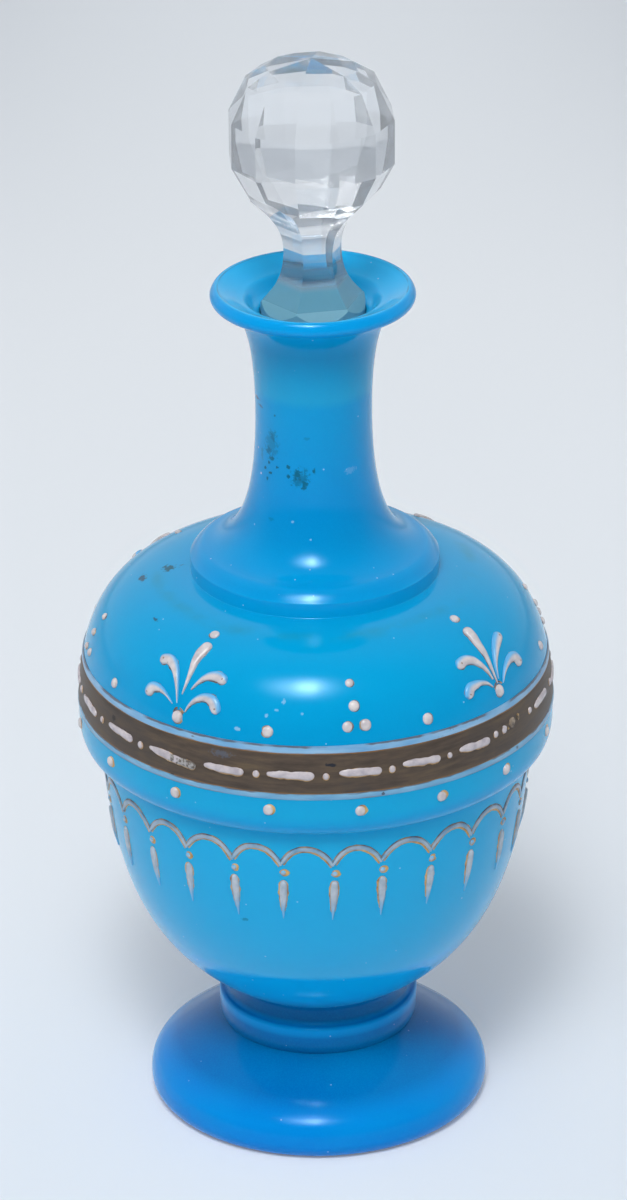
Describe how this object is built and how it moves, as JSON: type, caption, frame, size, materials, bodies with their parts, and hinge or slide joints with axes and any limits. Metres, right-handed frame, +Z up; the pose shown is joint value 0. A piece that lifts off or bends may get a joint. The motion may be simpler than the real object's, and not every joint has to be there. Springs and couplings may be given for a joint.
{
  "type": "liqueur decanter",
  "caption": "Footed opaline glass liqueur decanter with a belted body, flared neck and lip, raised enamel and gilt ornament, and a lift-out cut-glass ball stopper.",
  "frame": {"origin": "centre of the foot, on the surface that the decanter stands on", "axes": "+Z up the axis of the decanter towards the stopper; -Y is the front, between two palmettes"},
  "size_m": [0.1092, 0.1092, 0.2551],
  "materials": {
    "azure_glass": "polished opaline glass, barely translucent",
    "clear_glass": "polished cut facets, ground peg",
    "gilding": "fired gilding worn to a dark bronze tone",
    "pale_enamel": "thin pale blue-white enamel, glossy",
    "white_enamel": "raised off-white enamel, glossy"
  },
  "bodies": {
    "decanter": {"foot": "azure_glass", "stem_collar": "azure_glass", "body": "azure_glass", "neck": "azure_glass", "gilt_band": "gilding", "upper_enamel_line": "pale_enamel", "lower_enamel_line": "pale_enamel", "festoon_line": "pale_enamel", "festoon_drop_01": "white_enamel", "festoon_drop_02": "white_enamel", "festoon_drop_03": "white_enamel", "festoon_drop_04": "white_enamel", "festoon_drop_05": "white_enamel", "festoon_drop_06": "white_enamel", "festoon_drop_07": "white_enamel", "festoon_drop_08": "white_enamel", "festoon_drop_09": "white_enamel", "festoon_drop_10": "white_enamel", "festoon_drop_11": "white_enamel", "festoon_drop_12": "white_enamel", "festoon_drop_13": "white_enamel", "festoon_drop_14": "white_enamel", "festoon_drop_15": "white_enamel", "festoon_drop_16": "white_enamel", "festoon_drop_17": "white_enamel", "festoon_drop_18": "white_enamel", "festoon_drop_19": "white_enamel", "festoon_drop_20": "white_enamel", "festoon_drop_21": "white_enamel", "festoon_drop_22": "white_enamel", "festoon_drop_23": "white_enamel", "festoon_drop_24": "white_enamel", "festoon_drop_25": "white_enamel", "festoon_drop_26": "white_enamel", "palmette_1_low_left": "white_enamel", "palmette_1_high_left": "white_enamel", "palmette_1_middle": "white_enamel", "palmette_1_high_right": "white_enamel", "palmette_1_low_right": "white_enamel", "palmette_1_dot": "white_enamel", "palmette_2_low_left": "white_enamel", "palmette_2_high_left": "white_enamel", "palmette_2_middle": "white_enamel", "palmette_2_high_right": "white_enamel", "palmette_2_low_right": "white_enamel", "palmette_2_dot": "white_enamel", "palmette_3_low_left": "white_enamel", "palmette_3_high_left": "white_enamel", "palmette_3_middle": "white_enamel", "palmette_3_high_right": "white_enamel", "palmette_3_low_right": "white_enamel", "palmette_3_dot": "white_enamel", "palmette_4_low_left": "white_enamel", "palmette_4_high_left": "white_enamel", "palmette_4_middle": "white_enamel", "palmette_4_high_right": "white_enamel", "palmette_4_low_right": "white_enamel", "palmette_4_dot": "white_enamel"},
    "stopper": {"stopper": "clear_glass"}
  },
  "joints": [
    {"name": "stopper_lift", "type": "slide", "parent": "decanter", "child": "stopper", "axis": [0, 0, 1], "range_m": [0, 0.065]}
  ]
}
